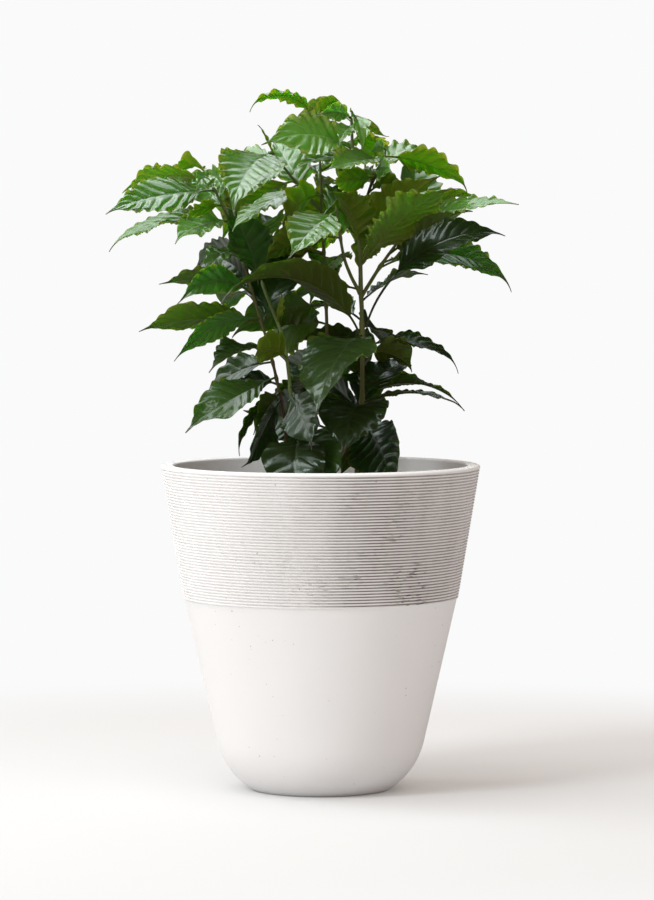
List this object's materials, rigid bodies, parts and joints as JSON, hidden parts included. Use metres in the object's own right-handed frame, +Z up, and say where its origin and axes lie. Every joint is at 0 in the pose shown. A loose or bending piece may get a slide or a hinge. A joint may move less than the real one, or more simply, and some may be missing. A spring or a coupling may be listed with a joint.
{
  "type": "potted coffee plant",
  "caption": "Young coffee plant with glossy wavy leaves on thin upright stems, standing in a tall tapered white planter with a grooved upper band.",
  "frame": {"origin": "middle of the planter's flat base, on the surface that it stands on", "axes": "+Z up along the planter's axis; -Y is the plant's front, the side with the large low leaves; +X is to the right as seen from the front"},
  "size_m": [0.3875, 0.3245, 0.6586],
  "materials": {
    "planter_ceramic": "matte",
    "nursery_plastic": "satin",
    "soil_mix": "matte",
    "stem_bark": "satin",
    "leaf_dark": "satin",
    "leaf_green": "satin",
    "leaf_bright": "satin"
  },
  "bodies": {
    "root": {"back_stem": "stem_bark", "centre_stem": "stem_bark", "front_stem": "stem_bark", "leaf_back_01": "leaf_dark", "leaf_back_02": "leaf_dark", "leaf_back_03": "leaf_green", "leaf_back_04": "leaf_green", "leaf_back_05": "leaf_bright", "leaf_back_06": "leaf_bright", "leaf_back_07": "leaf_bright", "leaf_back_08": "leaf_bright", "leaf_centre_01": "leaf_green", "leaf_centre_02": "leaf_green", "leaf_centre_03": "leaf_green", "leaf_centre_04": "leaf_bright", "leaf_centre_05": "leaf_bright", "leaf_centre_06": "leaf_bright", "leaf_front_01": "leaf_dark", "leaf_front_02": "leaf_dark", "leaf_front_03": "leaf_dark", "leaf_front_04": "leaf_green", "leaf_left_01": "leaf_dark", "leaf_left_02": "leaf_dark", "leaf_left_03": "leaf_dark", "leaf_left_04": "leaf_dark", "leaf_left_05": "leaf_green", "leaf_left_06": "leaf_green", "leaf_left_07": "leaf_green", "leaf_left_08": "leaf_green", "leaf_left_09": "leaf_green", "leaf_left_10": "leaf_green", "leaf_left_11": "leaf_green", "leaf_left_12": "leaf_green", "leaf_left_13": "leaf_bright", "leaf_left_14": "leaf_bright", "leaf_left_shoot_01": "leaf_green", "leaf_left_shoot_02": "leaf_bright", "leaf_main_01": "leaf_dark", "leaf_main_02": "leaf_dark", "leaf_main_03": "leaf_dark", "leaf_main_04": "leaf_dark", "leaf_main_05": "leaf_dark", "leaf_main_06": "leaf_dark", "leaf_main_07": "leaf_dark", "leaf_main_08": "leaf_green", "leaf_main_09": "leaf_green", "leaf_main_10": "leaf_green", "leaf_main_11": "leaf_bright", "leaf_main_12": "leaf_bright", "leaf_right_shoot_01": "leaf_green", "leaf_right_shoot_02": "leaf_green", "leaf_right_shoot_03": "leaf_green", "leaf_upper_shoot_01": "leaf_bright", "leaf_upper_shoot_02": "leaf_bright", "leaf_upper_shoot_03": "leaf_bright", "left_stem": "stem_bark", "main_stem": "stem_bark", "nursery_pot": "nursery_plastic", "planter": "planter_ceramic", "soil": "soil_mix"}
  },
  "joints": []
}
